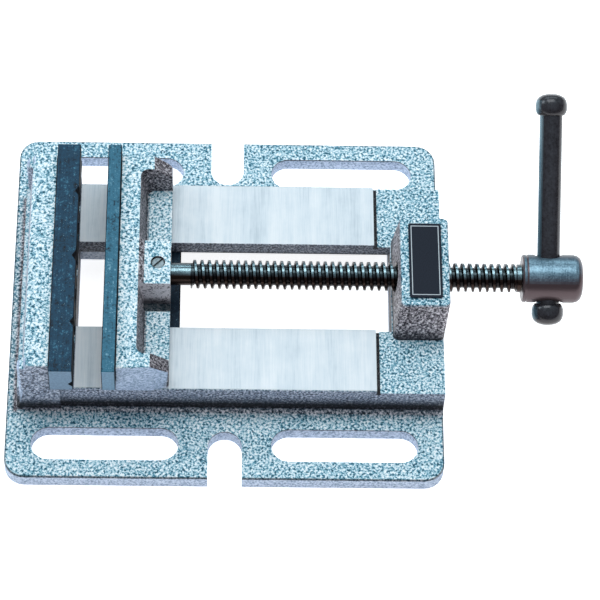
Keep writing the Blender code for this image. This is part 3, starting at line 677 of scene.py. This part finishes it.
# On the thread and the hub, the paler skin stays only on faces that point nearly straight up, a
# painted highlight band over painted shade.
thread_steel = turned_finish(
    "black_thread",
    (0.06, 0.10, 0.12),
    (0.26, 0.38, 0.42),
    (0.030, 0.017, 0.013),
    0.14,
    0.8,
    shade=painted_root_shade,
    shade_below_from=0.85,
)
hub_steel = turned_finish(
    "hub_steel",
    (0.04, 0.09, 0.13),
    (0.22, 0.35, 0.43),
    (0.09, 0.06, 0.064),
    0.25,
    0.6,
    shade=shaded_back,
    shade_below_from=0.82,
)
bar_steel = turned_finish(
    "black_bar",
    (0.010, 0.010, 0.013),
    (0.05, 0.052, 0.062),
    (0.026, 0.018, 0.018),
    0.14,
    0.3,
    grain=1.2 * MM,
    shade=painted_blue_rim,
)
fastener_steel = turned_finish(
    "black_fastener", (0.01, 0.01, 0.011), (0.05, 0.05, 0.055), (0.02, 0.017, 0.016), 0.3, 0.3
)
zinc = turned_finish(
    "zinc_fastener", (0.10, 0.14, 0.16), (0.32, 0.40, 0.43), (0.08, 0.07, 0.07), 0.4, 0.3
)

# The screws of the jaw plates and of the keeper aren't listed: they take fastener_steel.
FINISHES = {
    "base_casting": paint,
    "moving_jaw": jaw_paint,
    "fixed_jaw_plate": fixed_steel,
    "moving_jaw_plate": moving_steel,
    "keeper_plate": keeper_steel,
    "screw_hub": hub_steel,
    "hub_pin": zinc,
    "handle_bar": bar_steel,
    "handle_cap_upper": bar_steel,
    "handle_cap_lower": bar_steel,
    "jaw_set_screw": zinc,
    "label_plate": label_finish(),
    "keeper_washer_front": zinc,
    "keeper_washer_back": zinc,
}
smooth_lead_screw(thread_steel)
for node in frame["nodes"]:
    if node != "lead_screw":
        finished_copy(node, f"{node}_shown", FINISHES.get(node, fastener_steel))


# --- light, floor and camera -----------------------------------------------------------------


SKY = (
    (0.0, (0.20, 0.20, 0.23)),
    (0.45, (0.52, 0.56, 0.64)),
    (0.8, (0.72, 0.84, 0.92)),
)
SKY_STRENGTH = 0.75
FLOOR_GLOW = 0.85


def make_floor():
    """A pale floor just under the vise, lit a little from itself so that it stays white."""
    deselect()
    bpy.ops.mesh.primitive_plane_add(size=6, location=(0.075, 0, -0.0002))
    floor = bpy.context.object
    floor.name = "pale_floor"
    finish = Finish("pale_floor", specular=0.1)
    grain = finish.noise(20 * MM, detail=1)
    finish.colour(finish.ramp(grain, ((0, (0.93, 0.93, 0.93)), (1, (0.95, 0.95, 0.95)))))
    finish.rough(0.9 + grain * 0.05)
    finish.shader.inputs["Emission Color"].default_value = (1, 1, 1, 1)
    finish.shader.inputs["Emission Strength"].default_value = FLOOR_GLOW
    floor.data.materials.append(finish.material)


def area_light(name, place, target, size, power, colour):
    light = bpy.data.lights.new(name, "AREA")
    light.shape = "RECTANGLE"
    light.size, light.size_y = size
    light.energy = power
    light.color = colour
    obj = bpy.data.objects.new(name, light)
    bpy.context.scene.collection.objects.link(obj)
    aim = (Vector(target) - Vector(place)).normalized()
    turn = aim.to_track_quat("-Z", "Y").to_matrix().to_4x4()
    obj.matrix_world = Matrix.Translation(place) @ turn


def make_world():
    """Bright and bluish from behind and overhead, dimmer and greyer from the front and below."""
    world = bpy.data.worlds.new("studio")
    bpy.context.scene.world = world
    world.use_nodes = True
    sky = Recipe(world.node_tree)
    direction = sky.node("ShaderNodeTexCoord", {}, {}, "Generated")
    lean = sky.part(direction, "Y") * 0.45 + sky.part(direction, "Z")
    background = sky.tree.nodes["Background"]
    sky.connect(background.inputs["Color"], sky.ramp(lean, SKY))
    background.inputs["Strength"].default_value = SKY_STRENGTH


def make_camera():
    """Looking down from the front: elevation 58.6 degrees, turned 3.1 and rolled 3.4."""
    turn, tilt, roll = math.radians(3.12), math.radians(58.64), math.radians(3.37)
    ahead = Vector(
        (math.sin(turn) * math.cos(tilt), math.cos(turn) * math.cos(tilt), -math.sin(tilt))
    )
    level = Vector((math.cos(turn), -math.sin(turn), 0))
    upward = level.cross(ahead)
    right = math.cos(roll) * level + math.sin(roll) * upward
    above = math.cos(roll) * upward - math.sin(roll) * level
    data = bpy.data.cameras.new("studio_camera")
    data.lens = 177.5
    data.sensor_width = 36
    data.clip_start, data.clip_end = 0.05, 20
    camera = bpy.data.objects.new("studio_camera", data)
    bpy.context.scene.collection.objects.link(camera)
    camera.matrix_world = Matrix(
        (
            (right.x, above.x, -ahead.x, 0.07073),
            (right.y, above.y, -ahead.y, -0.64581),
            (right.z, above.z, -ahead.z, 1.07325),
            (0, 0, 0, 1),
        )
    )
    bpy.context.scene.camera = camera


make_floor()
make_world()
area_light("overhead_softbox", (0.05, 0.25, 1.0), (0.08, 0, 0), (0.8, 0.5), 4.4, (0.95, 0.99, 1))
area_light("left_softbox", (-0.8, 0.3, 0.6), (0.05, 0, 0), (0.4, 0.4), 2.4, (0.8, 0.94, 1))
area_light("back_strip", (0.1, 1.2, 0.86), (0.1, 0, 0.03), (1.6, 0.12), 3, (0.85, 0.96, 1))
make_camera()
bpy.context.scene.view_settings.view_transform = "Standard"

bpy.context.view_layer.update()
